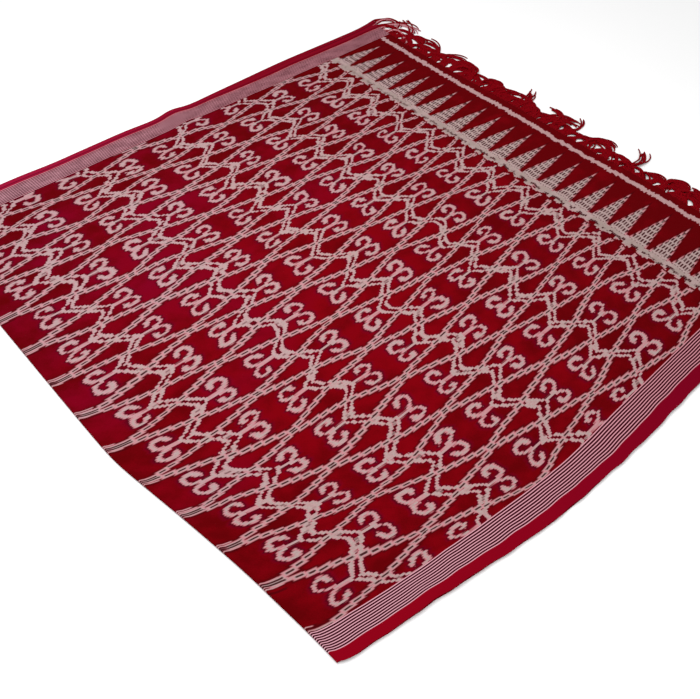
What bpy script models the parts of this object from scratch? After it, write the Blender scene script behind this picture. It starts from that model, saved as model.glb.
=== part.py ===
# Warp ikat cotton cloth, laid out flat and folded once across its middle.
# The cloth is one sheet in two layers: the fold is at -Y, and both cut ends meet at +Y,
# where the loose warp ends make a fringe on each layer. X runs across the cloth.
# Metres, +Z up. The origin is the middle of the whole thing's base.

import math
import random
from collections import namedtuple

import bmesh
import bpy
from mathutils import Vector

# The cloth's width, from its left selvedge to its right one
FIELD_WIDTH = 0.889
LEFT_STRIPES = 0.034
LEFT_BORDER = 0.0145
RIGHT_STRIPES = 0.0345
RIGHT_BORDER = 0.0195
CLOTH_LEFT = -(LEFT_STRIPES + LEFT_BORDER)
CLOTH_RIGHT = FIELD_WIDTH + RIGHT_STRIPES + RIGHT_BORDER

# Each layer's length, from the fold to the roots of the fringe
LAYER_LENGTH = 0.994

# The two layers and the bend that joins them
THICKNESS = 0.0015
LAYER_GAP = 0.0012
LOWER_MIDDLE = THICKNESS / 2
UPPER_MIDDLE = THICKNESS + LAYER_GAP + THICKNESS / 2
BEND_RADIUS = (UPPER_MIDDLE - LOWER_MIDDLE) / 2
BEND_STEPS = 4

# The corner where the fold meets the right selvedge is drawn in and up
CORNER_IN = 0.081
CORNER_IN_ACROSS = 0.628
CORNER_IN_ALONG = 0.541
CORNER_IN_POWER = 0.71
CORNER_UP = 0.0445
CORNER_UP_ACROSS = 0.400
CORNER_UP_ALONG = 0.465
CORNER_UP_POWER = 1.05
CORNER_UP_EASE = 1.42
CORNER_SOFTNESS = 0.08

# Beside that corner the cloth spreads towards the right selvedge, most of all halfway up
SPREAD = 0.010
SPREAD_START = 0.780
SPREAD_FULL = 0.855
SPREAD_ALONG = 0.520
SPREAD_POWER = 0.8
SWELL = 0.0074
SWELL_ALONG = 0.350
SWELL_WIDTH = 0.105

# The lower layer's far half lies further left, and both left corners trail outwards
LOWER_SHIFT = 0.0145
LOWER_SHIFT_START = 0.40
LOWER_SHIFT_FULL = 0.78
LOWER_FLARE = 0.009
LOWER_FLARE_START = 0.93
TRAIL_WIDTH = 0.15
UPPER_TRAIL = 0.010
LOWER_TRAIL = 0.024

# A small tuck stands out from the left selvedge
TUCK_ALONG = 0.472
TUCK_OUT = 0.005
TUCK_WIDTH = 0.026

# The mesh's steps: closer together by the left selvedge, where the ends curve
FINE_STEP = 0.025
STEP = 0.040
UPPER_ROWS = 27
LOWER_ROWS = 14

# The fringe: one strip of bound roots on each layer, with loose strands side by side
PARTING = 0.0003
STRIP_DEPTH = 0.004
STRAND_PITCH = 0.0165
STRAND_WIDTH = 0.0030
STRAND_HEIGHT = 0.0022
TIP_SHARE = 0.55
STRAND_STEPS = 5
LONG_STRAND = 0.064
SHORT_STRAND = 0.041
LENGTH_SPREAD = 0.11
DESCENT = 0.016
DESCENT_START = 0.0015
END_MARGIN = 0.006

# Soft ridges of the upper layer: from one point to another, in metres of cloth
Ridge = namedtuple("Ridge", "across along to_across to_along height width")
RIDGES = (
    Ridge(0.900, 0.060, 0.560, 0.330, 0.0050, 0.030),
    Ridge(0.860, 0.020, 0.500, 0.120, 0.0036, 0.026),
    Ridge(0.930, 0.120, 0.780, 0.480, 0.0040, 0.028),
    Ridge(0.430, 0.060, 0.455, 0.930, 0.0016, 0.030),
    Ridge(0.060, 0.560, 0.560, 0.620, 0.0030, 0.048),
    Ridge(0.180, 0.220, 0.470, 0.300, 0.0024, 0.040),
    Ridge(0.640, 0.780, 0.900, 0.690, 0.0026, 0.036),
    Ridge(-0.040, 0.470, 0.050, 0.480, 0.0040, 0.026),
)
FOLD_CALM = 0.05

# How the strands drift sideways on their way out, in waves along the fringe
Drift = namedtuple("Drift", "amount wave shift power")
DRIFTS = (
    Drift(0.0014, 0.027, 0.3, 1.0),
    Drift(0.0032, 0.110, 1.7, 1.4),
    Drift(0.0160, 0.520, 0.4, 1.6),
    Drift(0.0026, 0.130, 0.9, 4.0),
)

CRIMSON = (0.26, 0.006, 0.016, 1.0)
YARN_RED = (0.30, 0.010, 0.020, 1.0)


def wave(place, length, shift):
    return math.sin(2 * math.pi * place / length + shift)


def softly_positive(value):
    """Near 0 for a negative value and near the value itself for a positive one, with no kink."""
    return (value + math.hypot(value, CORNER_SOFTNESS)) / 2


def eased(value, start, full):
    """0 up to start, 1 from full on, and smooth between."""
    share = min(1.0, max(0.0, (value - start) / (full - start)))
    return share**2 * (3 - 2 * share)


def spread(across, along):
    """How far a point beside the drawn-in corner lies towards the right selvedge."""
    near = max(0.0, 1.0 - along / SPREAD_ALONG) ** SPREAD_POWER
    outside = max(0.0, (across - FIELD_WIDTH) / (CLOTH_RIGHT - FIELD_WIDTH))
    swell = math.exp(-(((along - SWELL_ALONG) / SWELL_WIDTH) ** 2))
    return SPREAD * near * eased(across, SPREAD_START, SPREAD_FULL) + SWELL * swell * outside


def lower_shift(share):
    """How far left the lower layer lies at this share of its length."""
    flare = max(0.0, (share - LOWER_FLARE_START) / (1.0 - LOWER_FLARE_START))
    return LOWER_SHIFT * eased(share, LOWER_SHIFT_START, LOWER_SHIFT_FULL) + LOWER_FLARE * flare**2


def corner_pull(across, along):
    """How far a point of the cloth is drawn in (x) and up (y) towards the middle."""
    from_right = max(0.0, CLOTH_RIGHT - across)
    near = 1.0 - (from_right / CORNER_IN_ACROSS) ** CORNER_IN_POWER
    near -= (along / CORNER_IN_ALONG) ** CORNER_IN_POWER
    lift = 1.0 - (from_right / CORNER_UP_ACROSS) ** CORNER_UP_POWER
    lift -= (along / CORNER_UP_ALONG) ** CORNER_UP_POWER
    lift = 1.0 - (1.0 - min(1.0, softly_positive(lift))) ** CORNER_UP_EASE
    return Vector((-CORNER_IN * softly_positive(near), CORNER_UP * lift))


def edge_wave(across, along):
    """The selvedges' small unevenness, gone a short way into the cloth."""
    fade = 0.06
    left = max(0.0, 1.0 - (across - CLOTH_LEFT) / fade)
    right = max(0.0, 1.0 - (CLOTH_RIGHT - across) / fade)
    tuck = math.exp(-(((along - TUCK_ALONG) / TUCK_WIDTH) ** 2))
    out_left = -TUCK_OUT * tuck + 0.0012 * wave(along, 0.21, 0.5)
    out_right = 0.0014 * wave(along, 0.26, 2.0)
    return left * out_left + right * out_right


def trail(across, amount):
    return amount * max(0.0, 1.0 - (across - CLOTH_LEFT) / TRAIL_WIDTH) ** 2


def upper_place(across, along):
    """Where a point of the upper layer lies in plan."""
    share = along / LAYER_LENGTH
    x = across + edge_wave(across, along) + spread(across, along)
    y = along + trail(across, UPPER_TRAIL) * share**6 + 0.001 * wave(across, 0.31, 0.9) * share**2
    return Vector((x, y)) + corner_pull(across, along)


def lower_place(across, along):
    """The same for the lower layer, which strays to the left at its far end."""
    share = along / LAYER_LENGTH
    x = across + edge_wave(across, along) * (1.0 - share) + spread(across, along) - lower_shift(share)
    y = along + trail(across, LOWER_TRAIL) * share**6 - 0.001 * wave(across, 0.31, 0.9) * share**2
    return Vector((x, y)) + corner_pull(across, along)


def relief(across, along):
    """How far the upper layer stands off the lower one, over its soft ridges."""
    total = 0.0
    for ridge in RIDGES:
        start = Vector((ridge.across, ridge.along))
        way = Vector((ridge.to_across, ridge.to_along)) - start
        here = Vector((across, along)) - start
        share = min(1.0, max(0.0, here.dot(way) / way.length_squared))
        off = (here - way * share).length
        fade = math.sin(math.pi * (0.15 + 0.7 * share))
        total += ridge.height * fade * math.exp(-((off / ridge.width) ** 2))
    return total * min(1.0, along / FOLD_CALM)


def columns():
    """Places across the cloth where the mesh has a line of points."""
    fine = [CLOTH_LEFT + FINE_STEP * i for i in range(round(TRAIL_WIDTH / FINE_STEP))]
    rest = CLOTH_RIGHT - CLOTH_LEFT - TRAIL_WIDTH
    count = round(rest / STEP)
    return fine + [CLOTH_LEFT + TRAIL_WIDTH + rest * i / count for i in range(count + 1)]


def cloth_stations():
    """Steps along the cloth, from the lower layer's end, round the fold, to the upper one's."""
    lower = [("lower", LAYER_LENGTH * (1 - i / LOWER_ROWS)) for i in range(LOWER_ROWS)]
    bend = [("bend", math.pi * i / BEND_STEPS) for i in range(BEND_STEPS + 1)]
    upper = [("upper", LAYER_LENGTH * (i + 1) / UPPER_ROWS) for i in range(UPPER_ROWS)]
    return lower + bend + upper


def cloth_point(across, station, outside):
    """A point on the sheet's outer skin (outside = 1) or on its inner one (-1)."""
    layer, value = station
    half = outside * THICKNESS / 2
    if layer == "lower":
        place = lower_place(across, value)
        return (place.x, place.y, LOWER_MIDDLE - half)
    if layer == "upper":
        place = upper_place(across, value)
        return (place.x, place.y, UPPER_MIDDLE + relief(across, value) + half)
    place = upper_place(across, 0.0)
    reach = BEND_RADIUS + half
    middle = (LOWER_MIDDLE + UPPER_MIDDLE) / 2
    return (place.x, place.y - reach * math.sin(value), middle - reach * math.cos(value))


def build_cloth(material):
    across = columns()
    stations = cloth_stations()
    mesh = bmesh.new()
    skins = {}
    for outside in (1, -1):
        skins[outside] = [
            [mesh.verts.new(cloth_point(a, station, outside)) for a in across]
            for station in stations
        ]
    outer, inner = skins[1], skins[-1]
    last_row, last_column = len(stations) - 1, len(across) - 1
    for i in range(last_row):
        for j in range(last_column):
            mesh.faces.new((outer[i][j], outer[i][j + 1], outer[i + 1][j + 1], outer[i + 1][j]))
            mesh.faces.new((inner[i][j], inner[i + 1][j], inner[i + 1][j + 1], inner[i][j + 1]))
        mesh.faces.new((outer[i][0], outer[i + 1][0], inner[i + 1][0], inner[i][0]))
        right = last_column
        mesh.faces.new((outer[i][right], inner[i][right], inner[i + 1][right], outer[i + 1][right]))
    for j in range(last_column):
        mesh.faces.new((outer[0][j], inner[0][j], inner[0][j + 1], outer[0][j + 1]))
        end = last_row
        mesh.faces.new((outer[end][j], outer[end][j + 1], inner[end][j + 1], inner[end][j]))
    return finish_object("cloth", mesh, material)


def interpolated(points, x):
    """The height at x of the broken line through these (x, y) points."""
    for (x0, y0), (x1, y1) in zip(points, points[1:]):
        if x <= x1:
            return y0 + (y1 - y0) * (x - x0) / (x1 - x0)
    return points[-1][1]


def end_line(place):
    """A layer's cut end in plan, as the broken line that the cloth's own mesh makes."""
    return [tuple(place(a, LAYER_LENGTH)) for a in columns()]


def drift(x, out):
    """How far a strand with its root at x has strayed sideways at this distance out."""
    share = out / LONG_STRAND
    return sum(d.amount * share**d.power * wave(x, d.wave, d.shift) for d in DRIFTS)


def strand_length(x, left, right, luck):
    """Long and loose at the left end of the fringe, shorter and more curled at the right."""
    share = (x - left) / (right - left)
    plain = LONG_STRAND + (SHORT_STRAND - LONG_STRAND) * share
    return plain * (1 + 0.12 * wave(x, 0.083, 0.0) + luck.uniform(-LENGTH_SPREAD, LENGTH_SPREAD))


def strand_sections(x, root_y, length, root_low, fall_from):
    """Four-cornered sections of one strand, from its first step to its tip."""
    sections = []
    for i in range(1, STRAND_STEPS + 1):
        out = length * i / STRAND_STEPS
        ahead = drift(x, out + 0.001) - drift(x, out - 0.001)
        way = Vector((ahead, 0.002)).normalized()
        side = Vector((way.y, -way.x))
        taper = 1.0 - (1.0 - TIP_SHARE) * (i / STRAND_STEPS) ** 2
        half = STRAND_WIDTH * taper / 2
        middle = Vector((x + drift(x, out), root_y + out))
        fallen = min(1.0, max(0.0, (out - fall_from) / DESCENT))
        low = root_low * (1.0 - fallen)
        high = low + STRAND_HEIGHT * taper
        a, b = middle - side * half, middle + side * half
        top_a, top_b = middle - side * half * 0.6, middle + side * half * 0.6
        sections.append(
            ((a.x, a.y, low), (b.x, b.y, low), (top_b.x, top_b.y, high), (top_a.x, top_a.y, high))
        )
    return sections


def build_fringe(name, line, roots, low, fall, material, luck):
    """A strip along a cut end, with strands fused to its outer side."""
    left, right = line[0][0], line[-1][0]
    cells = sorted(
        [(x - STRAND_WIDTH / 2, x + STRAND_WIDTH / 2) for x in roots], key=lambda cell: cell[0]
    )
    between = [x for x, _ in line[1:-1] if all(not a - 0.0008 < x < b + 0.0008 for a, b in cells)]
    stops = sorted([left, right] + between + [x for cell in cells for x in cell])
    mesh = bmesh.new()
    rings = []
    for x in stops:
        inner_y = interpolated(line, x) + PARTING
        outer_y = inner_y + STRIP_DEPTH
        high = low + THICKNESS
        corners = ((inner_y, low), (outer_y, low), (outer_y, high), (inner_y, high))
        rings.append([mesh.verts.new((x, y, z)) for y, z in corners])
    starts = {round(cell[0], 6): cell for cell in cells}
    for x, here, there in zip(stops, rings, rings[1:]):
        mesh.faces.new((here[0], here[1], there[1], there[0]))
        mesh.faces.new((here[2], here[3], there[3], there[2]))
        mesh.faces.new((here[3], here[0], there[0], there[3]))
        cell = starts.get(round(x, 6))
        if cell is None:
            mesh.faces.new((here[1], here[2], there[2], there[1]))
            continue
        root_x = (cell[0] + cell[1]) / 2
        root_y = interpolated(line, root_x) + PARTING + STRIP_DEPTH
        length = strand_length(root_x, left, right, luck)
        ring = [here[1], there[1], there[2], here[2]]
        for section in strand_sections(root_x, root_y, length, low, fall(root_x)):
            following = [mesh.verts.new(corner) for corner in section]
            for k in range(4):
                m = (k + 1) % 4
                mesh.faces.new((ring[k], ring[m], following[m], following[k]))
            ring = following
        mesh.faces.new(ring)
    mesh.faces.new(rings[0])
    mesh.faces.new(rings[-1][::-1])
    return finish_object(name, mesh, material)


def finish_object(name, mesh, material):
    bmesh.ops.recalc_face_normals(mesh, faces=mesh.faces)
    data = bpy.data.meshes.new(name)
    mesh.to_mesh(data)
    mesh.free()
    data.shade_smooth()
    data.set_sharp_from_angle(angle=math.radians(40))
    data.materials.append(material)
    made = bpy.data.objects.new(name, data)
    bpy.context.scene.collection.objects.link(made)
    return made


def fabric(name, colour, roughness):
    material = bpy.data.materials.new(name)
    material.use_nodes = True
    shader = material.node_tree.nodes["Principled BSDF"]
    shader.inputs["Base Color"].default_value = colour
    shader.inputs["Roughness"].default_value = roughness
    shader.inputs["Metallic"].default_value = 0.0
    return material


def centre_on_base(pieces):
    """Moves the meshes so that the origin is the middle of the base of the whole."""
    points = [vertex.co for piece in pieces for vertex in piece.data.vertices]
    low = Vector(min(p[i] for p in points) for i in range(3))
    high = Vector(max(p[i] for p in points) for i in range(3))
    shift = -Vector(((low.x + high.x) / 2, (low.y + high.y) / 2, low.z))
    for piece in pieces:
        for vertex in piece.data.vertices:
            vertex.co += shift


def main():
    for old in list(bpy.data.objects):
        bpy.data.objects.remove(old)
    woven = fabric("woven_cotton", CRIMSON, 0.9)
    yarn = fabric("loose_yarn", YARN_RED, 0.95)
    cloth = build_cloth(woven)

    upper_line = end_line(upper_place)
    lower_line = end_line(lower_place)
    first = lower_line[0][0] + END_MARGIN
    last = upper_line[-1][0] - END_MARGIN
    lanes = round((last - first) / (STRAND_PITCH / 2))
    pitch = (last - first) / lanes
    places = [first + pitch * i for i in range(lanes + 1)]
    lower_roots = [x for x in places[0::2] if x < lower_line[-1][0] - END_MARGIN]
    upper_roots = [x for x in places[1::2] if x > upper_line[0][0] + END_MARGIN]

    def past_lower_strip(x):
        """An upper strand starts down once it is clear of the lower layer's strip."""
        over = interpolated(lower_line, x) - interpolated(upper_line, x)
        return max(0.0, over) + DESCENT_START

    def from_root(x):
        return 0.0

    luck = random.Random(11)
    lower_fringe = build_fringe("fringe_lower", lower_line, lower_roots, 0.0, from_root, yarn, luck)
    upper_low = THICKNESS + LAYER_GAP
    upper_fringe = build_fringe(
        "fringe_upper", upper_line, upper_roots, upper_low, past_lower_strip, yarn, luck
    )
    centre_on_base([cloth, lower_fringe, upper_fringe])


main()
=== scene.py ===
import math
import random
from types import SimpleNamespace

import bpy
import numpy as np
from mathutils import Matrix, Vector


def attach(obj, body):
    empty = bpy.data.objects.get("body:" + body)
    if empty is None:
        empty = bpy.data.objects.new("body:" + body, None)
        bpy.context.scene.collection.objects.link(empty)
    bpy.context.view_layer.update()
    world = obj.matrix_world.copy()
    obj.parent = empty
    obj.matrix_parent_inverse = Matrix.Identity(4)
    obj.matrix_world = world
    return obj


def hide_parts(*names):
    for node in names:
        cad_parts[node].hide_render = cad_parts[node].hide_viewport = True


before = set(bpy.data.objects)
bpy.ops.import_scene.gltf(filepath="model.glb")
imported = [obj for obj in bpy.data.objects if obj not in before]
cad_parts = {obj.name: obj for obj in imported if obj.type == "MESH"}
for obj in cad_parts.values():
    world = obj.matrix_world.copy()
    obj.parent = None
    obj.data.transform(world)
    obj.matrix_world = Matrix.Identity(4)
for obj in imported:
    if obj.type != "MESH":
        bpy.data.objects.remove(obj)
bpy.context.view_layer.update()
print("frame loaded")

# From the cloth's own measures to the frame, whose origin is the middle of the base
toMiddle = (-0.4314, -0.5447)

# The cloth
cloth = {
    "field": 0.889,
    "leftStripes": 0.034,
    "leftBorder": 0.0145,
    "rightStripes": 0.0345,
    "rightBorder": 0.0195,
    "layerLength": 0.994,
    "thickness": 0.0011,
    "upperMiddle": 0.0034,
    "columns": 180,
    "upperRows": 180,
    "lowerRows": 46,
    "bendSteps": 8,
    "rimBend": 40,
}
cloth["left"] = -(cloth["leftStripes"] + cloth["leftBorder"])
cloth["right"] = cloth["field"] + cloth["rightStripes"] + cloth["rightBorder"]
cloth["lowerMiddle"] = cloth["thickness"] / 2

# The corner where the fold meets the right selvedge is drawn in, leftwards and away from the fold.
# Each pull fades with the distance from the corner, across and along the cloth
corner = {
    "left": 0.081,
    "leftAcross": 0.628,
    "leftAlong": 0.541,
    "leftPower": 0.71,
    "away": 0.0445,
    "awayAcross": 0.400,
    "awayAlong": 0.465,
    "awayPower": 1.05,
    "awayEase": 1.42,
    "softness": 0.08,
}

# Beside that corner the cloth spreads to the right, and its right border swells out further along
spread = {
    "out": 0.010,
    "start": 0.780,
    "full": 0.855,
    "along": 0.520,
    "power": 0.8,
    "swell": 0.0074,
    "swellAlong": 0.350,
    "swellWidth": 0.105,
}

# The lower layer's far half strays to the left, and both left corners trail outwards
stray = {
    "lowerShift": 0.0145,
    "shiftStart": 0.40,
    "shiftFull": 0.78,
    "flare": 0.009,
    "flareStart": 0.93,
    "trailWidth": 0.15,
    "trailPower": 6,
    "upperTrail": 0.010,
    "lowerTrail": 0.024,
    "tuckAlong": 0.472,
    "tuckOut": 0.005,
    "tuckWidth": 0.026,
}

# How the edges and the ends wander: height, length and start of each wave
waves = {
    "edgeFade": 0.06,
    "left": (0.0012, 0.21, 0.5),
    "right": (0.0014, 0.26, 2.0),
    "rightShort": (0.0009, 0.057, 0.0),
    "rightSwell": (1.0, 0.23, 1.0),
    "end": (0.001, 0.31, 0.9),
}

# Soft ridges: across, along, to across, to along, height, width
ridges = (
    (0.900, 0.060, 0.560, 0.330, 0.0050, 0.030),
    (0.860, 0.020, 0.500, 0.120, 0.0036, 0.026),
    (0.930, 0.120, 0.780, 0.480, 0.0040, 0.028),
    (0.430, 0.060, 0.455, 0.930, 0.0016, 0.030),
    (0.060, 0.560, 0.560, 0.620, 0.0030, 0.048),
    (0.180, 0.220, 0.470, 0.300, 0.0024, 0.040),
    (0.640, 0.780, 0.900, 0.690, 0.0026, 0.036),
    (-0.040, 0.470, 0.050, 0.480, 0.0040, 0.026),
)

# Small creases on top of the ridges, in the same columns
creases = (
    (0.915, 0.030, 0.690, 0.160, 0.0022, 0.012),
    (0.925, 0.090, 0.660, 0.300, 0.0018, 0.014),
    (0.880, 0.010, 0.640, 0.060, 0.0018, 0.012),
    (0.935, 0.180, 0.860, 0.420, 0.0016, 0.014),
    (0.300, 0.020, 0.330, 0.300, 0.0009, 0.016),
    (0.520, 0.380, 0.720, 0.520, 0.0011, 0.020),
    (0.100, 0.700, 0.400, 0.780, 0.0010, 0.022),
    (0.620, 0.560, 0.900, 0.620, 0.0011, 0.022),
    (0.010, 0.300, 0.200, 0.330, 0.0011, 0.020),
    (0.740, 0.860, 0.900, 0.940, 0.0010, 0.020),
    (0.936, 0.372, 0.868, 0.398, 0.0022, 0.010),
    (0.938, 0.168, 0.872, 0.196, 0.0020, 0.010),
    (0.940, 0.262, 0.884, 0.300, 0.0014, 0.012),
)

# Over all of that a fine ripple; the relief starts at the fold and is whole a little further on
surface = {
    "ripple": 0.0004,
    "rippleSlant": 0.4,
    "rippleAcross": (1.0, 0.093, 0.3),
    "rippleAlong": (1.0, 0.171, 1.1),
    "whole": 0.05,
    "ridgeEnds": 0.15,
}


def wave(place, height, length, start):
    return height * np.sin(2 * math.pi * place / length + start)


def softlyPositive(value):
    return (value + np.hypot(value, corner["softness"])) / 2


def eased(value, start, full):
    # 0 up to start, 1 from full on, and smooth between
    share = np.clip((value - start) / (full - start), 0.0, 1.0)
    return share**2 * (3 - 2 * share)


def spreadOut(across, along):
    near = np.maximum(0.0, 1.0 - along / spread["along"]) ** spread["power"]
    outside = np.maximum(0.0, (across - cloth["field"]) / (cloth["right"] - cloth["field"]))
    swell = np.exp(-(((along - spread["swellAlong"]) / spread["swellWidth"]) ** 2))
    spreadHere = spread["out"] * near * eased(across, spread["start"], spread["full"])
    return spreadHere + spread["swell"] * swell * outside


def lowerShift(share):
    flare = np.maximum(0.0, (share - stray["flareStart"]) / (1.0 - stray["flareStart"]))
    shift = stray["lowerShift"] * eased(share, stray["shiftStart"], stray["shiftFull"])
    return shift + stray["flare"] * flare**2


def cornerPull(across, along):
    fromRight = np.maximum(0.0, cloth["right"] - across)
    left = 1.0 - (fromRight / corner["leftAcross"]) ** corner["leftPower"]
    left = left - (along / corner["leftAlong"]) ** corner["leftPower"]
    away = 1.0 - (fromRight / corner["awayAcross"]) ** corner["awayPower"]
    away = away - (along / corner["awayAlong"]) ** corner["awayPower"]
    away = 1.0 - (1.0 - np.minimum(1.0, softlyPositive(away))) ** corner["awayEase"]
    return -corner["left"] * softlyPositive(left), corner["away"] * away


def edgeWave(across, along):
    left = np.maximum(0.0, 1.0 - (across - cloth["left"]) / waves["edgeFade"])
    right = np.maximum(0.0, 1.0 - (cloth["right"] - across) / waves["edgeFade"])
    tuck = np.exp(-(((along - stray["tuckAlong"]) / stray["tuckWidth"]) ** 2))
    outLeft = -stray["tuckOut"] * tuck + wave(along, *waves["left"])
    outRight = wave(along, *waves["right"])
    outRight = outRight + wave(along, *waves["rightShort"]) * wave(along, *waves["rightSwell"])
    return left * outLeft + right * outRight


def trail(across, amount):
    return amount * np.maximum(0.0, 1.0 - (across - cloth["left"]) / stray["trailWidth"]) ** 2


def upperPlace(across, along):
    share = along / cloth["layerLength"]
    x = across + edgeWave(across, along) + spreadOut(across, along)
    y = along + trail(across, stray["upperTrail"]) * share ** stray["trailPower"]
    y = y + wave(across, *waves["end"]) * share**2
    pullX, pullY = cornerPull(across, along)
    return x + pullX + toMiddle[0], y + pullY + toMiddle[1]


def lowerPlace(across, along):
    share = along / cloth["layerLength"]
    x = across + edgeWave(across, along) * (1.0 - share) + spreadOut(across, along)
    x = x - lowerShift(share)
    y = along + trail(across, stray["lowerTrail"]) * share ** stray["trailPower"]
    y = y - wave(across, *waves["end"]) * share**2
    pullX, pullY = cornerPull(across, along)
    return x + pullX + toMiddle[0], y + pullY + toMiddle[1]


def relief(across, along):
    total = 0.0 * across
    for startX, startY, endX, endY, height, width in ridges + creases:
        wayX, wayY = endX - startX, endY - startY
        share = ((across - startX) * wayX + (along - startY) * wayY) / (wayX**2 + wayY**2)
        share = np.clip(share, 0.0, 1.0)
        off = np.hypot(across - startX - wayX * share, along - startY - wayY * share)
        fade = np.sin(math.pi * (surface["ridgeEnds"] + (1 - 2 * surface["ridgeEnds"]) * share))
        total = total + height * fade * np.exp(-((off / width) ** 2))
    ripple = wave(across + surface["rippleSlant"] * along, *surface["rippleAcross"])
    ripple = surface["ripple"] * (1.0 + ripple * wave(along, *surface["rippleAlong"]))
    return (total + ripple) * np.minimum(1.0, along / surface["whole"])


def meshObject(name, places, faces, materials, faceMaterials=None, smoothAngle=None):
    data = bpy.data.meshes.new(name)
    data.from_pydata(places.tolist(), [], faces)
    data.shade_smooth()
    if smoothAngle is not None:
        data.set_sharp_from_angle(angle=math.radians(smoothAngle))
    for material in materials:
        data.materials.append(material)
    if faceMaterials is not None:
        data.polygons.foreach_set("material_index", faceMaterials)
    made = bpy.data.objects.new(name, data)
    bpy.context.scene.collection.objects.link(made)
    return made


def skinPoints(across, outside):
    # One row of points per step: the lower layer from its end, round the fold, then the upper layer
    half = outside * cloth["thickness"] / 2
    length = cloth["layerLength"]
    radius = (cloth["upperMiddle"] - cloth["lowerMiddle"]) / 2
    middle = (cloth["upperMiddle"] + cloth["lowerMiddle"]) / 2
    rows, alongs = [], []
    for i in range(cloth["lowerRows"]):
        along = np.full_like(across, length * (1 - i / cloth["lowerRows"]))
        x, y = lowerPlace(across, along)
        rows.append(np.stack([x, y, np.full_like(x, cloth["lowerMiddle"] - half)], 1))
        alongs.append(-along)
    for i in range(cloth["bendSteps"] + 1):
        turn = math.pi * i / cloth["bendSteps"]
        x, y = upperPlace(across, 0.0 * across)
        y = y - (radius + half) * math.sin(turn)
        rows.append(np.stack([x, y, np.full_like(x, middle - (radius + half) * math.cos(turn))], 1))
        alongs.append(0.0 * across)
    for i in range(cloth["upperRows"]):
        along = np.full_like(across, length * (i + 1) / cloth["upperRows"])
        x, y = upperPlace(across, along)
        rows.append(np.stack([x, y, cloth["upperMiddle"] + relief(across, along) + half], 1))
        alongs.append(along)
    return np.array(rows), np.array(alongs)


def buildCloth(material):
    across = np.linspace(cloth["left"], cloth["right"], cloth["columns"] + 1)
    outer, along = skinPoints(across, 1)
    inner = skinPoints(across, -1)[0]
    rows, columns = outer.shape[:2]
    number = np.arange(rows * columns).reshape(rows, columns)
    under = number + rows * columns
    a, b, c, d = number[:-1, :-1], number[:-1, 1:], number[1:, 1:], number[1:, :-1]
    outerFaces = np.stack([a, b, c, d], -1).reshape(-1, 4)
    innerFaces = np.stack([a, d, c, b], -1).reshape(-1, 4) + rows * columns
    left = np.stack([number[:-1, 0], number[1:, 0], under[1:, 0], under[:-1, 0]], 1)
    right = np.stack([number[:-1, -1], under[:-1, -1], under[1:, -1], number[1:, -1]], 1)
    first = np.stack([number[0, :-1], under[0, :-1], under[0, 1:], number[0, 1:]], 1)
    last = np.stack([number[-1, :-1], number[-1, 1:], under[-1, 1:], under[-1, :-1]], 1)
    faces = np.concatenate([outerFaces, innerFaces, left, right, first, last])
    places = np.concatenate([outer.reshape(-1, 3), inner.reshape(-1, 3)])
    made = meshObject("folded_cloth", places, faces.tolist(), [material], smoothAngle=cloth["rimBend"])
    flat = np.stack([np.broadcast_to(across, along.shape), along], -1).reshape(-1, 2)
    flat = np.concatenate([flat, flat])
    sheet = made.data.uv_layers.new(name="cloth_places")
    sheet.data.foreach_set("uv", flat[faces.ravel()].ravel())
    return made


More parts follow.
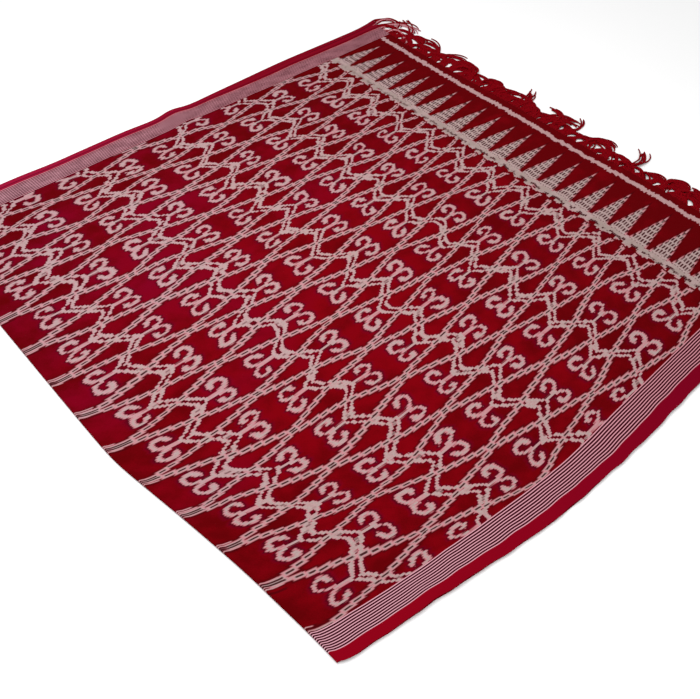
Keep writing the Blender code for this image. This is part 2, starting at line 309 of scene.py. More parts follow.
# The dyes
class DyeRecipe:
    # Small steps of dyeing, worked out point by point on the cloth
    def __init__(self, name):
        self.material = bpy.data.materials.new(name)
        self.material.use_nodes = True
        self.tree = self.material.node_tree
        self.finish = self.tree.nodes["Principled BSDF"]

    def feed(self, socket, value):
        if isinstance(value, bpy.types.NodeSocket):
            self.tree.links.new(value, socket)
        elif value is not None:
            socket.default_value = value

    def work(self, how, *values):
        node = self.tree.nodes.new("ShaderNodeMath")
        node.operation = how
        for socket, value in zip(node.inputs, values):
            self.feed(socket, value)
        return node.outputs[0]

    def plus(self, a, b):
        return self.work("ADD", a, b)

    def minus(self, a, b):
        return self.work("SUBTRACT", a, b)

    def times(self, a, b):
        return self.work("MULTIPLY", a, b)

    def timesPlus(self, a, b, c):
        return self.work("MULTIPLY_ADD", a, b, c)

    def size(self, a):
        return self.work("ABSOLUTE", a)

    def most(self, *values):
        result = values[0]
        for value in values[1:]:
            result = self.work("MAXIMUM", result, value)
        return result

    def least(self, *values):
        result = values[0]
        for value in values[1:]:
            result = self.work("MINIMUM", result, value)
        return result

    def change(self, value, start, end, before, after):
        # The amount before the start, the amount after the end, and evenly from one to the other
        node = self.tree.nodes.new("ShaderNodeMapRange")
        names = ("Value", "From Min", "From Max", "To Min", "To Max")
        for name, given in zip(names, (value, start, end, before, after)):
            self.feed(node.inputs[name], given)
        return node.outputs["Result"]

    def rise(self, value, start, end):
        return self.change(value, start, end, 0.0, 1.0)

    def fall(self, value, start, end):
        return self.change(value, start, end, 1.0, 0.0)

    def band(self, value, middle, half, soft):
        # 1 within half of the middle, 0 further away
        return self.fall(self.size(self.minus(value, middle)), half - soft, half + soft)

    def waver(self, clouds, amount, middle=0.0):
        # About half the amount to either side of the middle
        return self.timesPlus(self.minus(clouds, 0.5), amount, middle)

    def turnedBack(self, value, turned, whole):
        # Counted from the other end wherever turned is 1
        return self.plus(value, self.times(turned, self.timesPlus(value, -2.0, whole)))

    def point(self, x, y):
        node = self.tree.nodes.new("ShaderNodeCombineXYZ")
        self.feed(node.inputs[0], x)
        self.feed(node.inputs[1], y)
        return node.outputs[0]

    def chance(self, *values):
        # A number from 0 to 1 for each whole value
        node = self.tree.nodes.new("ShaderNodeTexWhiteNoise")
        if len(values) == 1:
            node.noise_dimensions = "1D"
            self.feed(node.inputs["W"], values[0])
        else:
            node.noise_dimensions = "2D"
            self.feed(node.inputs["Vector"], self.point(*values))
        return node.outputs["Value"]

    def cloudNode(self, place, scale, detail, rough):
        node = self.tree.nodes.new("ShaderNodeTexNoise")
        node.noise_dimensions = "2D"
        self.feed(node.inputs["Vector"], place)
        self.feed(node.inputs["Scale"], scale)
        self.feed(node.inputs["Detail"], detail)
        self.feed(node.inputs["Roughness"], rough)
        return node

    def clouds(self, x, y, scales, detail, rough):
        place = self.point(self.times(x, scales[0]), self.times(y, scales[1]))
        return self.cloudNode(place, 1.0, detail, rough).outputs["Fac"]

    def threeClouds(self, x, y, scales):
        # Three unlike patterns of the same fineness
        place = self.point(self.times(x, scales[0]), self.times(y, scales[1]))
        split = self.tree.nodes.new("ShaderNodeSeparateColor")
        self.feed(split.inputs[0], self.cloudNode(place, 1.0, 1.0, 0.5).outputs["Color"])
        return split.outputs[0], split.outputs[1], split.outputs[2]

    def blend(self, share, first, second):
        node = self.tree.nodes.new("ShaderNodeMix")
        node.data_type = "RGBA"
        self.feed(node.inputs["Factor"], share)
        self.feed(node.inputs[6], first)
        self.feed(node.inputs[7], second)
        return node.outputs[2]

    def clothPlace(self):
        # Millimetres across and along, the same on both layers
        node = self.tree.nodes.new("ShaderNodeUVMap")
        node.uv_map = "cloth_places"
        split = self.tree.nodes.new("ShaderNodeSeparateXYZ")
        self.feed(split.inputs[0], node.outputs[0])
        return self.times(split.outputs[0], 1000.0), self.times(self.size(split.outputs[1]), 1000.0)

    def relief(self, height, distance, strength):
        node = self.tree.nodes.new("ShaderNodeBump")
        self.feed(node.inputs["Height"], height)
        node.inputs["Distance"].default_value = distance
        node.inputs["Strength"].default_value = strength
        self.feed(self.finish.inputs["Normal"], node.outputs[0])

    def finishWith(self, colour, rough, shine):
        self.feed(self.finish.inputs["Base Color"], colour)
        self.finish.inputs["Roughness"].default_value = rough
        self.finish.inputs["Specular IOR Level"].default_value = shine


# The dyer's measures are in millimetres of cloth. Two values in brackets say where a change starts
# and where it is complete, four say besides how much there is before and after. In the functions
# below, r is the recipe and t is what threadPlaces works out
threads = {
    "repeat": 73.5,
    "bundles": 24,
    "rowStep": 169.4,
    "firstNode": 5.0,
    "firstRow": 20.0,
    "slip": 4.4,
    "fineSlip": 6.0,
    "fineScales": (0.075, 0.035),
    "sway": 14.0,
    "swayScales": (0.013, 0.0062),
    "bend": 2.6,
    "shading": 0.22,
    "tooth": 0.9,
    "legSeed": 31.0,
}


def threadPlaces(r):
    # Where a point lies: on the cloth, in its bundle of warp threads and in the repeat
    across, along = r.clothPlace()
    width = threads["repeat"] / threads["bundles"]
    half = threads["repeat"] / 2
    step = threads["rowStep"]

    # Each bundle takes the dye as one, and slips a little against its neighbours
    bundle = r.work("FLOOR", r.work("DIVIDE", across, width))
    inBundle = r.size(r.minus(r.work("FRACT", r.work("DIVIDE", across, width)), 0.5))
    bundleAt = r.times(r.plus(bundle, 0.5), width)
    swayX, swayY, swayThick = r.threeClouds(bundleAt, along, threads["swayScales"])
    fineX, fineY, fineThick = r.threeClouds(bundleAt, along, threads["fineScales"])
    slip = r.times(r.minus(r.chance(bundle), 0.5), threads["slip"])
    slipped = r.plus(along, r.waver(fineY, threads["fineSlip"], slip))
    shadedAt = r.plus(bundleAt, r.times(r.minus(across, bundleAt), threads["shading"]))

    # Fold the field into one corner of the repeat
    y = r.plus(slipped, r.waver(swayY, threads["sway"], -threads["firstRow"]))
    y = r.work("PINGPONG", r.most(y, 0.0), step)
    turned = r.work("GREATER_THAN", y, step / 2)
    y = r.turnedBack(y, turned, step)
    swayHere = r.waver(swayX, threads["sway"], -threads["firstNode"])
    x = r.turnedBack(r.work("PINGPONG", r.plus(shadedAt, swayHere), half), turned, half)
    linkX = r.turnedBack(r.work("PINGPONG", r.plus(across, swayHere), half), turned, half)
    return SimpleNamespace(
        across=across,
        along=along,
        width=width,
        bundle=bundle,
        inBundle=inBundle,
        bundleAt=bundleAt,
        swayThick=swayThick,
        fineX=fineX,
        fineY=fineY,
        slipped=slipped,
        shadedAt=shadedAt,
        tooth=r.times(r.times(inBundle, inBundle), 4 * threads["tooth"]),
        legLuck=r.chance(r.plus(bundle, threads["legSeed"])),
        y=y,
        linkX=linkX,
        fromAxis=r.size(r.plus(r.minus(half, x), r.waver(fineX, threads["bend"]))),
        tall=r.plus(y, r.waver(fineThick, threads["bend"])),
    )


# Every shape is worked out as its depth: how many millimetres a point lies inside its edge
chains = {
    "apart": 1.5,
    "linkHalf": 3.3,
    "linkTall": 9.0,
    "linkTaper": 0.45,
    "linkSkew": 0.06,
    "linksInStep": 11,
    "startLuck": 10.0,
    "startEarly": 3.0,
    "startTaper": 0.5,
    "dashTall": (4.2, 6.2),
    "dashWide": (0.82, 1.42),
}


def chainDepth(r, t):
    # Chains of pale links, each one bundle further across than the last, with a dark dash in each
    half, tall = chains["linkHalf"], chains["linkTall"]
    pitch = threads["rowStep"] / chains["linksInStep"]
    link = r.work("FLOOR", r.timesPlus(t.y, 1 / pitch, 0.5))
    alongLink = r.minus(t.y, r.times(link, pitch))
    fromMiddle = r.size(alongLink)
    offLink = r.minus(t.linkX, r.timesPlus(link, t.width, chains["apart"]))
    offLink = r.minus(offLink, r.times(alongLink, chains["linkSkew"]))
    stepOver = t.width - chains["linkSkew"] * pitch
    ahead = r.timesPlus(r.work("GREATER_THAN", alongLink, 0.0), 2 * stepOver, -stepOver)
    chain = []
    for wide, off, long in (
        (half, r.size(offLink), r.minus(tall, fromMiddle)),
        (half, r.size(r.minus(offLink, ahead)), r.plus(fromMiddle, tall - pitch)),
        (half - chains["apart"], t.linkX, r.minus(tall, t.y)),
    ):
        chain.append(r.least(r.minus(wide, off), r.times(long, chains["linkTaper"])))
    start = r.timesPlus(t.legLuck, chains["startLuck"], -chains["startEarly"])
    chain = r.least(r.most(*chain), r.times(r.minus(t.slipped, start), chains["startTaper"]))
    dash = r.fall(r.size(offLink), *chains["dashWide"])
    return chain, r.times(r.fall(fromMiddle, *chains["dashTall"]), dash)


chevrons = {
    "slope": 1.32,
    "upper": 53.4,
    "upperRound": 2.0,
    "upperWaver": 7.0,
    "lower": 66.9,
    "lowerRound": 14.0,
    "half": 4.0,
    "uneven": 4.5,
    "filled": (0.49, 0.57, -7.2, 2.0),
    "dashInside": (3.4, 4.6),
    "dashThread": (0.34, 0.46),
    "dashSeed": 77.0,
    "dashLuck": (0.35, 0.65),
    "dashPastChain": (-0.4, 0.4),
}


def chevronDepth(r, t, chain):
    # Double chevrons, some of them filled in, with a few dark dashes between the two lines
    square = r.times(t.fromAxis, t.fromAxis)
    peak = r.times(r.work("SQRT", r.plus(square, chevrons["upperRound"])), -chevrons["slope"])
    arch = r.times(r.work("SQRT", r.plus(square, chevrons["lowerRound"])), -chevrons["slope"])
    upperAt = r.waver(t.swayThick, chevrons["upperWaver"], -chevrons["upper"])
    upper = r.plus(r.plus(t.tall, peak), upperAt)
    lower = r.plus(t.tall, r.plus(arch, -chevrons["lower"]))
    lineHalf = r.waver(t.fineX, chevrons["uneven"], chevrons["half"])
    lines = r.minus(lineHalf, r.least(r.size(upper), r.size(lower)))
    between = r.least(upper, r.times(lower, -1.0))
    chevron = r.most(lines, r.least(between, r.change(t.fineX, *chevrons["filled"])))
    dash = r.rise(between, *chevrons["dashInside"])
    dash = r.times(dash, r.fall(t.inBundle, *chevrons["dashThread"]))
    dash = r.times(dash, r.rise(r.chance(r.plus(t.bundle, chevrons["dashSeed"])), *chevrons["dashLuck"]))
    return chevron, r.times(dash, r.fall(chain, *chevrons["dashPastChain"]))


curls = {
    "stemHalf": 2.4,
    "stemTall": 13.5,
    "stemMiddle": 43.0,
    "across": 12.0,
    "along": 32.5,
    "stretch": 1.55,
    "start": 160.0,
    "end": 5.6,
    "endTaper": 5.0,
    "wide": 9.9,
    "tightens": 1.0,
    "thick": 2.1,
    "uneven": 2.4,
    "thickens": 0.30,
}


def curlDepth(r, t):
    # A stem with a curl on either side
    fromStem = r.size(r.minus(t.tall, curls["stemMiddle"]))
    stem = r.least(r.minus(curls["stemHalf"], t.fromAxis), r.minus(curls["stemTall"], fromStem))
    x = r.minus(t.fromAxis, curls["across"])
    y = r.times(r.minus(t.tall, curls["along"]), 1 / curls["stretch"])
    angle = r.minus(r.work("ARCTAN2", y, x), math.radians(curls["start"]))
    angle = r.work("WRAP", angle, 2 * math.pi, 0.0)
    far = r.work("SQRT", r.timesPlus(x, x, r.times(y, y)))
    ring = r.timesPlus(angle, -curls["tightens"], curls["wide"])
    thick = r.timesPlus(angle, curls["thickens"], r.waver(t.swayThick, curls["uneven"], curls["thick"]))
    curl = r.minus(thick, r.size(r.minus(far, ring)))
    curl = r.least(curl, r.times(r.minus(curls["end"], angle), curls["endTaper"]))
    return r.most(stem, curl)


legs = {
    "half": (0.15, 0.16, 2.6, 7.6),
    "end": 16.0,
    "endLuck": 14.0,
    "endSlope": 1.2,
    "endTaper": 0.4,
    "threadHalf": 0.34,
    "threadTaper": 5.0,
    "gapInside": (0.4, 1.2),
    "gapThread": (0.36, 0.46),
    "gapPastChain": (-1.0, -0.3),
    "gapDark": 0.8,
}


def legDepth(r, t, chain):
    # By the fold the chains run straight on, as a few threads side by side
    x = r.work("PINGPONG", r.minus(t.bundleAt, threads["firstNode"]), threads["repeat"] / 2)
    end = r.timesPlus(t.legLuck, legs["endLuck"], r.timesPlus(x, -legs["endSlope"], legs["end"]))
    leg = r.minus(r.change(t.legLuck, *legs["half"]), x)
    leg = r.least(leg, r.times(r.minus(end, t.slipped), legs["endTaper"]))
    gap = r.times(r.rise(t.inBundle, *legs["gapThread"]), r.fall(chain, *legs["gapPastChain"]))
    gap = r.times(gap, r.rise(leg, *legs["gapInside"]))
    leg = r.least(leg, r.times(r.minus(legs["threadHalf"], t.inBundle), legs["threadTaper"]))
    return leg, r.times(gap, legs["gapDark"])


# The far end: a band with a ragged lower edge, dark dashes on it, and a pale line by the fringe
farEnd = {
    "latticeEnd": 818.0,
    "band": 832.3,
    "bandHalf": 11.4,
    "bandStart": (0.50, 0.58, 820.0, 829.0),
    "dashLine": 830.8,
    "dashHalf": 2.6,
    "dashSoft": 0.8,
    "dashClouds": (0.43, 0.50),
    "dashAcross": (-150.0, 420.0),
    "dashThread": (0.42, 0.50),
    "paleLine": 971.0,
    "paleHalf": 5.9,
    "paleDepth": 1.9,
}


def farEndDepth(r, t):
    band = r.minus(farEnd["bandHalf"], r.size(r.minus(t.slipped, farEnd["band"])))
    band = r.least(band, r.minus(t.slipped, r.change(t.fineX, *farEnd["bandStart"])))
    line = r.minus(farEnd["paleHalf"], r.size(r.minus(t.slipped, farEnd["paleLine"])))
    line = r.least(line, farEnd["paleDepth"])
    dash = r.times(r.rise(t.fineX, *farEnd["dashClouds"]), r.rise(t.across, *farEnd["dashAcross"]))
    dash = r.times(dash, r.fall(t.inBundle, *farEnd["dashThread"]))
    dashLine = r.band(t.slipped, farEnd["dashLine"], farEnd["dashHalf"], farEnd["dashSoft"])
    return band, line, r.times(dash, dashLine)


triangles = {
    "tip": 941.0,
    "foot": 839.0,
    "start": 838.0,
    "half": 16.2,
    "pitch": 36.8,
    "first": 22.5,
    "drift": 8.0,
    "driftAcross": (690.0, 800.0),
    "dashRow": 14.1,
    "firstRow": 846.0,
    "dashColumn": 4.7,
    "dashAcross": (0.5, 0.29, 0.06),
    "dashAlong": (0.5, 0.34, 0.04),
    "dashInside": (0.5, 1.3),
    "dashStart": (841.5, 843.0),
    "dashDark": (0.30, 0.46, 0.7, 1.0),
}


def triangleDepth(r, t):
    # Six dark dashes stand in a triangle's first row, and one fewer in each row above it
    half = triangles["pitch"] / 2
    share = r.minus(triangles["tip"], t.slipped)
    share = r.times(share, 1 / (triangles["tip"] - triangles["foot"]))
    drift = r.rise(t.across, *triangles["driftAcross"])
    drift = r.timesPlus(drift, -triangles["drift"], -triangles["first"])
    x = r.work("PINGPONG", r.plus(t.shadedAt, drift), half)
    triangle = r.minus(r.times(share, triangles["half"]), x)
    triangle = r.least(triangle, r.minus(t.slipped, triangles["start"]))
    row = r.times(r.minus(t.slipped, triangles["firstRow"]), 1 / triangles["dashRow"])
    odd = r.work("FRACT", r.times(r.work("FLOOR", row), 0.5))
    column = r.work("PINGPONG", r.plus(t.across, drift), half)
    column = r.plus(r.times(column, 1 / triangles["dashColumn"]), odd)
    dash = r.times(
        r.band(r.work("FRACT", column), *triangles["dashAcross"]),
        r.band(r.work("FRACT", row), *triangles["dashAlong"]),
    )
    dash = r.times(dash, r.rise(triangle, *triangles["dashInside"]))
    dash = r.times(dash, r.rise(t.slipped, *triangles["dashStart"]))
    return triangle, r.times(dash, r.change(t.fineX, *triangles["dashDark"]))


dyes = {
    "crimson": (0.152, 0.0003, 0.0028, 1.0),
    "magenta": (0.138, 0.0003, 0.0105, 1.0),
    # Dark crimson for the painted shade and the random mottling of the ground
    "mottleAndShadeCrimson": (0.088, 0.0003, 0.0014, 1.0),
    "outline": (0.045, 0.0010, 0.0022, 1.0),
    "stained": (0.130, 0.0003, 0.0120, 1.0),
    "plum": (0.048, 0.0008, 0.0052, 1.0),
    "rose": (0.330, 0.050, 0.066, 1.0),
    "palePink": (0.430, 0.174, 0.196, 1.0),
    "dustyPink": (0.285, 0.165, 0.160, 1.0),
    "greige": (0.350, 0.258, 0.246, 1.0),
    "coolGrey": (0.370, 0.238, 0.270, 1.0),
    "bandGrey": (0.282, 0.222, 0.200, 1.0),
    "maroonBlack": (0.036, 0.0016, 0.004, 1.0),
    "mauve": (0.034, 0.001, 0.005, 1.0),
    "stripePink": (0.600, 0.300, 0.355, 1.0),
    # The far colours here and below are painted shade for the stripes and borders further from the fold
    "shadedFarStripePink": (0.530, 0.225, 0.262, 1.0),
    "warmStripePink": (0.640, 0.170, 0.190, 1.0),
    "rightRed": (0.200, 0.0006, 0.0065, 1.0),
    "shadedFarRightRed": (0.148, 0.0006, 0.0095, 1.0),
    "leftRed": (0.250, 0.0055, 0.0300, 1.0),
    "shadedFarLeftRed": (0.165, 0.0016, 0.0090, 1.0),
}

# Plain woven stripes along both selvedges, with a red border outside them
stripes = {
    "edgeSoft": 0.2,
    "leftPitch": 3.4,
    "leftLine": (0.38, 0.70),
    "leftUneven": 0.5,
    "leftUnevenMiddle": -0.02,
    "rightPitch": 3.65,
    "rightLine": (0.48, 0.80),
    "firstLine": 0.9,
    # Where the painted shade of the selvedges starts and is complete
    "selvedgeFarShade": (80.0, 640.0),
    "warmOutside": (3.0, 8.0),
    "warmInside": (-6.0, -2.0),
    "warm": 0.3,
    "seam": -5.0,
    "seamHalf": 1.0,
    "seamSoft": 0.5,
    "seamDark": 0.7,
}


def selvedgeColour(r, t):
    soft = stripes["edgeSoft"]
    fieldEnd = 1000 * cloth["field"]
    start = -1000 * cloth["leftStripes"]
    end = fieldEnd + 1000 * cloth["rightStripes"]
    inField = r.times(r.rise(t.across, -soft, soft), r.fall(t.across, fieldEnd - soft, fieldEnd + soft))
    leftBand = r.times(r.rise(t.across, start - soft, start + soft), r.fall(t.across, -soft, soft))
    rightBand = r.rise(t.across, fieldEnd - soft, fieldEnd + soft)
    rightBand = r.times(rightBand, r.fall(t.across, end - soft, end + soft))
    leftLine = r.minus(t.across, start + stripes["firstLine"])
    leftLine = r.work("PINGPONG", leftLine, stripes["leftPitch"] / 2)
    leftLine = r.plus(leftLine, r.waver(t.fineX, stripes["leftUneven"], stripes["leftUnevenMiddle"]))
    rightLine = r.minus(t.across, fieldEnd + stripes["firstLine"])
    rightLine = r.work("PINGPONG", rightLine, stripes["rightPitch"] / 2)
    line = r.most(
        r.times(r.fall(leftLine, *stripes["leftLine"]), leftBand),
        r.times(r.fall(rightLine, *stripes["rightLine"]), rightBand),
    )
    # Painted shade: the borders and stripes turn darker further from the fold
    selvedgeFarShade = r.rise(t.along, *stripes["selvedgeFarShade"])
    leftRed = r.blend(selvedgeFarShade, dyes["leftRed"], dyes["shadedFarLeftRed"])
    rightRed = r.blend(selvedgeFarShade, dyes["rightRed"], dyes["shadedFarRightRed"])
    colour = r.blend(r.work("GREATER_THAN", t.across, fieldEnd / 2), leftRed, rightRed)
    seam = r.band(t.across, start + stripes["seam"], stripes["seamHalf"], stripes["seamSoft"])
    dark = r.most(leftBand, rightBand, r.times(seam, stripes["seamDark"]))
    colour = r.blend(dark, colour, dyes["mauve"])
    outer, inner = stripes["warmOutside"], stripes["warmInside"]
    warm = r.most(r.fall(t.across, start + outer[0], start + outer[1]), r.rise(t.across, *inner))
    warm = r.times(r.times(warm, leftBand), stripes["warm"])
    pink = r.blend(selvedgeFarShade, dyes["stripePink"], dyes["shadedFarStripePink"])
    pink = r.blend(warm, pink, dyes["warmStripePink"])
    return r.blend(line, colour, pink), inField


# How the colours lie on the field: by chance and by depth, with painted shade by place. The clouds
# have their two scales, detail and roughness
tints = {
    "patch": ((0.008, 0.006), 3.0, 0.6),
    "blotch": ((0.030, 0.022), 2.0, 0.6),
    "grain": ((1.1, 0.35), 1.0, 0.5),
    "sunnyAcross": -0.0009,
    "sunnyAlong": -0.0006,
    "sunny": 0.30,
    "sunnyGround": (0.15, 0.85),
    "middle": 480.0,
    "sideShade": (180.0, 560.0, 0.0, 0.55),
    "farShade": (420.0, 960.0, 0.0, 0.90),
    "foldShade": (0.0, 160.0, 0.45, 0.0),
    "patchShade": (0.35, 0.62, 0.37, -0.13),
    "blotchShade": (0.30, 0.70, 0.40, -0.40),
    "grainShade": (0.45, 0.75, 0.0, 0.35),
    "stain": (-5.0, -1.5),
    "stainShare": 0.45,
    "outline": (-3.0, -0.8, 0.0, 0.90),
    "pale": (-0.8, 0.3),
    "pink": (-0.3, 0.6),
    "grey": (0.7, 2.0),
    "cool": (0.05, 0.85, 0.0, 0.55),
    "bandDepth": (1.0, 3.5),
    "bandClouds": (0.36, 0.56),
    "dust": (0.42, 0.72, 0.0, 0.45),
    "specksInBundle": 2,
    "speckAlong": 0.33,
    "speck": (0.35, 1.0, 0.0, 0.32),
    "chevronDash": 0.6,
    "dash": 0.96,
    "rough": 0.88,
    "shine": 0.01,
    "weaveDepth": 0.0004,
    "weaveShare": 0.6,
}


def wovenCotton():
    r = DyeRecipe("woven_cotton")
    t = threadPlaces(r)
    chain, chainDash = chainDepth(r, t)
    chevron, chevronDash = chevronDepth(r, t, chain)
    motif = r.most(chevron, curlDepth(r, t))
    leg, legGap = legDepth(r, t, chain)
    band, line, bandDash = farEndDepth(r, t)
    triangle, triangleDash = triangleDepth(r, t)
    borders, inField = selvedgeColour(r, t)

    # The lattice stops before the band
    inLattice = r.fall(t.slipped, farEnd["latticeEnd"] - 1, farEnd["latticeEnd"] + 1)
    lattice = r.most(chain, r.minus(r.most(motif, leg), t.tooth))
    lattice = r.least(lattice, r.minus(farEnd["latticeEnd"], t.slipped))
    depth = r.most(lattice, r.minus(r.most(band, line, triangle), t.tooth))
    stained = r.times(r.rise(motif, *tints["stain"]), inLattice)
    dash = r.most(r.times(r.most(chainDash, legGap), inLattice), bandDash, triangleDash)

    patch = r.clouds(t.across, t.along, *tints["patch"])
    blotch = r.clouds(t.across, t.along, *tints["blotch"])
    grain = r.clouds(t.across, t.along, *tints["grain"])

    # The red ground: painted shade towards the sides and the ends, random mottling, dye round the motifs
    sunny = r.timesPlus(t.along, tints["sunnyAlong"], r.plus(patch, tints["sunny"]))
    sunny = r.timesPlus(t.across, tints["sunnyAcross"], sunny)
    ground = r.blend(r.rise(sunny, *tints["sunnyGround"]), dyes["crimson"], dyes["magenta"])
    # Painted shade: darker towards the sides, the far end and the fold; the clouds add random mottling
    shade = r.change(r.size(r.minus(t.across, tints["middle"])), *tints["sideShade"])
    shade = r.plus(shade, r.change(t.along, *tints["farShade"]))
    shade = r.plus(shade, r.change(t.along, *tints["foldShade"]))
    shade = r.plus(shade, r.change(patch, *tints["patchShade"]))
    shade = r.plus(shade, r.change(blotch, *tints["blotchShade"]))
    shade = r.plus(shade, r.change(grain, *tints["grainShade"]))
    ground = r.blend(r.most(r.least(shade, 1.0), 0.0), ground, dyes["mottleAndShadeCrimson"])
    ground = r.blend(r.times(stained, tints["stainShare"]), ground, dyes["stained"])
    edge = r.blend(stained, dyes["outline"], dyes["plum"])
    ground = r.blend(r.change(depth, *tints["outline"]), ground, edge)

    # The pale pattern, pink at its edges and dusty in specks
    pale = r.blend(r.rise(depth, *tints["pink"]), dyes["rose"], dyes["palePink"])
    pale = r.blend(r.rise(depth, *tints["grey"]), pale, dyes["greige"])
    pale = r.blend(r.change(sunny, *tints["cool"]), pale, dyes["coolGrey"])
    inBand = r.times(r.rise(band, *tints["bandDepth"]), r.rise(t.fineY, *tints["bandClouds"]))
    pale = r.blend(inBand, pale, dyes["bandGrey"])
    pale = r.blend(r.change(grain, *tints["dust"]), pale, dyes["dustyPink"])
    thread = r.work("FLOOR", r.times(t.across, tints["specksInBundle"] / t.width))
    speck = r.chance(thread, r.work("FLOOR", r.times(t.along, tints["speckAlong"])))
    pale = r.blend(r.change(speck, *tints["speck"]), pale, dyes["dustyPink"])

    colour = r.blend(r.rise(depth, *tints["pale"]), ground, pale)
    chevronDash = r.times(r.times(chevronDash, inLattice), tints["chevronDash"])
    colour = r.blend(chevronDash, colour, dyes["outline"])
    colour = r.blend(r.times(dash, tints["dash"]), colour, dyes["maroonBlack"])
    r.finishWith(r.blend(inField, borders, colour), tints["rough"], tints["shine"])
    r.relief(grain, tints["weaveDepth"], tints["weaveShare"])
    return r.material


clothPiece = buildCloth(wovenCotton())
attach(clothPiece, "root")
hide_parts("cloth")
print("cloth woven")

# The fringe
fringe = {
    "tufts": 42,
    "upperYarns": 8,
    "lowerYarns": 5,
    "sides": 5,
    "steps": 18,
    "thick": 0.00185,
    "thickness": (0.8, 1.15),
    "thinEnd": 0.35,
    "thinRoot": 0.5,
    "rootSwell": 9,
    "longest": 0.098,
    "shortest": 0.066,
    "lengths": (0.78, 1.16),
    "leans": (-0.35, 0.85),
    "curls": (1.4, 4.8),
    "turnings": (1.1, 2.0),
    "rightHooks": 0.78,
    "allRightBefore": 0.08,
    "looseFrom": 0.30,
    "looseTo": 0.52,
    "loose": 0.35,
    "gather": 0.22,
    "leanEarly": 3,
    "wobbles": 7,
    "arch": 0.0060,
    "archEarly": 1.25,
    "drop": 0.016,
    "clear": 1.02,
    "tuckIn": 0.0015,
    "rootSpread": (0.2, 0.8),
    "paleShare": 0.6,
    "seed": 11,
}

# How far each yarn strays from its tuft
own = {
    "length": (0.86, 1.06),
    "lean": (-0.12, 0.12),
    "curl": (0.84, 1.14),
    "turning": (0.9, 1.1),
    "wobble": (0.05, 0.30),
    "phase": (0, 6.28),
    "gather": (0.75, 1.0),
    "arch": (0.6, 1.3),
}
yarnDyes = {
    "red": (0.215, 0.0006, 0.0040, 1),
    "redShaded": (0.088, 0.0004, 0.0020, 1),
    "pale": (0.50, 0.26, 0.28, 1),
    "paleShaded": (0.36, 0.08, 0.11, 1),
    # Clouds that lay the painted shade on the yarns: scale, detail and roughness
    "strandShade": 420.0,
    "strandShadeDetail": 2.0,
    "strandShadeRough": 0.6,
    "shade": (0.35, 0.7),
    "rough": 0.92,
    "shine": 0.02,
}


def yarnDye(name, plain, shaded):
    r = DyeRecipe(name)
    place = r.tree.nodes.new("ShaderNodeTexCoord")
    detail, rough = yarnDyes["strandShadeDetail"], yarnDyes["strandShadeRough"]
    # Painted shade: each yarn turns at random from its plain colour to its shaded copy, for the shadows
    # between strands
    strandShade = r.cloudNode(place.outputs["Object"], yarnDyes["strandShade"], detail, rough).outputs["Fac"]
    colour = r.blend(r.rise(strandShade, *yarnDyes["shade"]), plain, shaded)
    r.finishWith(colour, yarnDyes["rough"], yarnDyes["shine"])
    return r.material


def tuftHabit(across, luck):
    # How one tuft of loose ends lies: its length, lean, hook and arch
    share = (across - cloth["left"]) / (cloth["right"] - cloth["left"])
    length = fringe["longest"] + (fringe["shortest"] - fringe["longest"]) * share
    side = 1 if share < fringe["allRightBefore"] or luck.random() < fringe["rightHooks"] else -1
    return {
        "length": length * luck.uniform(*fringe["lengths"]),
        "lean": luck.uniform(*fringe["leans"]),
        "curl": side * luck.uniform(*fringe["curls"]),
        "turning": luck.uniform(*fringe["turnings"]),
        "arch": fringe["arch"] * luck.random(),
        "together": fringe["loose"] if fringe["looseFrom"] < share < fringe["looseTo"] else 1.0,
    }


def yarnPath(root, middle, low, radius, habit, luck):
    # Out from the cut, together with its tuft, and down to the floor with its own small ways
    x, y = root
    length = habit["length"] * luck.uniform(*own["length"])
    lean = habit["lean"] + luck.uniform(*own["lean"])
    curl = habit["curl"] * luck.uniform(*own["curl"])
    turning = habit["turning"] * luck.uniform(*own["turning"])
    wobble = luck.uniform(*own["wobble"])
    phase = luck.uniform(*own["phase"])
    gather = (middle - x) * luck.uniform(*own["gather"]) * habit["together"]
    arch = habit["arch"] * luck.uniform(*own["arch"])
    points = []
    for i in range(fringe["steps"] + 1):
        part = i / fringe["steps"]
        heading = lean * min(1.0, fringe["leanEarly"] * part) + curl * part**turning
        heading += wobble * math.sin(fringe["wobbles"] * part + phase) * part
        down = min(1.0, part * length / fringe["drop"])
        rise = math.sin(math.pi * min(1.0, fringe["archEarly"] * part)) ** 2
        z = low * (1 - down) + arch * rise
        together = gather * min(1.0, part / fringe["gather"])
        points.append((x + together, y, max(radius * fringe["clear"], z)))
        x += math.sin(heading) * length / fringe["steps"]
        y += math.cos(heading) * length / fringe["steps"]
    return points


def tube(points, thick, sides):
    # Rings of corners round the path, thinner at its ends
    path = np.array(points)
    way = np.gradient(path, axis=0)
    way /= np.linalg.norm(way, axis=1)[:, None]
    side = np.cross(way, (0.0, 0.0, 1.0))
    side /= np.linalg.norm(side, axis=1)[:, None]
    up = np.cross(side, way)
    part = np.linspace(0, 1, len(path))
    radius = thick * (1 - fringe["thinEnd"] * part**3)
    radius = radius * np.minimum(1.0, fringe["thinRoot"] + fringe["rootSwell"] * part)
    rings = []
    for k in range(sides):
        turn = 2 * math.pi * k / sides
        rings.append(path + radius[:, None] * (side * math.cos(turn) + up * math.sin(turn)))
    corners = np.stack(rings, 1).reshape(-1, 3)
    faces = []
    for i in range(len(path) - 1):
        for k in range(sides):
            m = (k + 1) % sides
            faces.append((i * sides + k, i * sides + m, (i + 1) * sides + m, (i + 1) * sides + k))
    faces.append(tuple(range(sides)))
    last = (len(path) - 1) * sides
    faces.append(tuple(last + k for k in reversed(range(sides))))
    return corners, faces


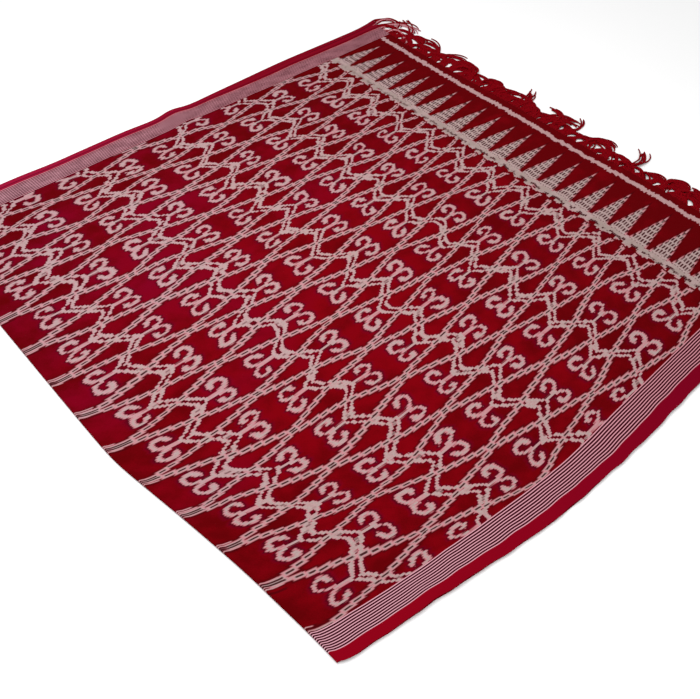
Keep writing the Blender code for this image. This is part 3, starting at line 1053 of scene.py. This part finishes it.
def buildFringe(name, place, low, yarns, materials, luck):
    corners, faces, kinds = [], [], []
    count = 0
    pitch = (cloth["right"] - cloth["left"]) / fringe["tufts"]
    for tuft in range(fringe["tufts"]):
        middle = cloth["left"] + pitch * (tuft + 0.5)
        habit = tuftHabit(middle, luck)
        middleX = float(place(np.array(middle), np.array(cloth["layerLength"]))[0])
        for i in range(yarns):
            across = middle + pitch * ((i + luck.uniform(*fringe["rootSpread"])) / yarns - 0.5)
            rootX, rootY = (float(v) for v in place(np.array(across), np.array(cloth["layerLength"])))
            radius = fringe["thick"] * luck.uniform(*fringe["thickness"])
            root = (rootX, rootY - fringe["tuckIn"])
            path = yarnPath(root, middleX, low(across), radius, habit, luck)
            ring, quads = tube(path, radius, fringe["sides"])
            corners.append(ring)
            faces += [tuple(v + count for v in quad) for quad in quads]
            inLeft = -cloth["leftStripes"] < across < 0.0
            inRight = cloth["field"] < across < cloth["field"] + cloth["rightStripes"]
            pale = (inLeft or inRight) and luck.random() < fringe["paleShare"]
            kinds += [int(pale)] * len(quads)
            count += len(ring)
    return meshObject(name, np.concatenate(corners), faces, materials, kinds)


def upperEnd(across):
    return cloth["upperMiddle"] + float(relief(np.array(across), np.array(cloth["layerLength"])))


def lowerEnd(across):
    return cloth["lowerMiddle"]


luck = random.Random(fringe["seed"])
redYarn = yarnDye("fringe_red", yarnDyes["red"], yarnDyes["redShaded"])
paleYarn = yarnDye("fringe_pale", yarnDyes["pale"], yarnDyes["paleShaded"])
fringes = [
    buildFringe("yarns_upper", upperPlace, upperEnd, fringe["upperYarns"], [redYarn, paleYarn], luck),
    buildFringe("yarns_lower", lowerPlace, lowerEnd, fringe["lowerYarns"], [redYarn, paleYarn], luck),
]
for piece, node in zip(fringes, ("fringe_upper", "fringe_lower")):
    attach(piece, "root")
    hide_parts(node)
print("fringe laid")

# Floor, light and camera
studio = {
    "floorSize": 9.0,
    "floorShade": (0.86, 0.86, 0.86, 1.0),
    "floorRough": 0.9,
    "floorShine": 0.1,
    "worldLight": 0.92,
    "keyPlace": (-0.12, -0.32, 1.05),
    "keyAim": (-0.08, -0.24, 0.0),
    "keySize": 0.8,
    "keyPower": 9.5,
    "fillPlace": (1.9, 1.2, 2.2),
    "fillAim": (0, 0, 0),
    "fillSize": 2.4,
    "fillPower": 4.0,
}
lens = {
    "focal": 37.03,
    "sensor": 36.0,
    "nearest": 0.05,
    "place": (1.0112, -0.1226, 0.7839),
    "right": (0.68344, 0.72827, 0.05032),
    "up": (-0.58985, 0.5103, 0.62584),
    "back": (0.4301, -0.4574, 0.77833),
}


def buildFloor():
    r = DyeRecipe("pale_floor")
    r.finishWith(studio["floorShade"], studio["floorRough"], studio["floorShine"])
    half = studio["floorSize"] / 2
    corners = np.array([(-half, -half, 0), (half, -half, 0), (half, half, 0), (-half, half, 0)])
    return meshObject("floor", corners, [(0, 1, 2, 3)], [r.material])


def softLight(name, place, aim, size, power):
    data = bpy.data.lights.new(name, "AREA")
    data.shape = "SQUARE"
    data.size = size
    data.energy = power
    light = bpy.data.objects.new(name, data)
    light.location = place
    light.rotation_euler = (Vector(aim) - Vector(place)).to_track_quat("-Z", "Y").to_euler()
    bpy.context.scene.collection.objects.link(light)


def buildCamera():
    data = bpy.data.cameras.new("camera")
    data.lens = lens["focal"]
    data.sensor_width = lens["sensor"]
    data.clip_start = lens["nearest"]
    camera = bpy.data.objects.new("camera", data)
    x, y, z = lens["place"]
    turn = Matrix((lens["right"], lens["up"], lens["back"])).transposed().to_4x4()
    camera.matrix_world = Matrix.Translation((x + toMiddle[0], y + toMiddle[1], z)) @ turn
    bpy.context.scene.collection.objects.link(camera)
    bpy.context.scene.camera = camera


buildFloor()
softLight("key", studio["keyPlace"], studio["keyAim"], studio["keySize"], studio["keyPower"])
softLight("fill", studio["fillPlace"], studio["fillAim"], studio["fillSize"], studio["fillPower"])
world = bpy.data.worlds.new("studio")
world.use_nodes = True
sky = world.node_tree.nodes["Background"]
sky.inputs["Color"].default_value = (1, 1, 1, 1)
sky.inputs["Strength"].default_value = studio["worldLight"]
bpy.context.scene.world = world
bpy.context.scene.view_settings.view_transform = "Standard"
buildCamera()
print("studio lit")
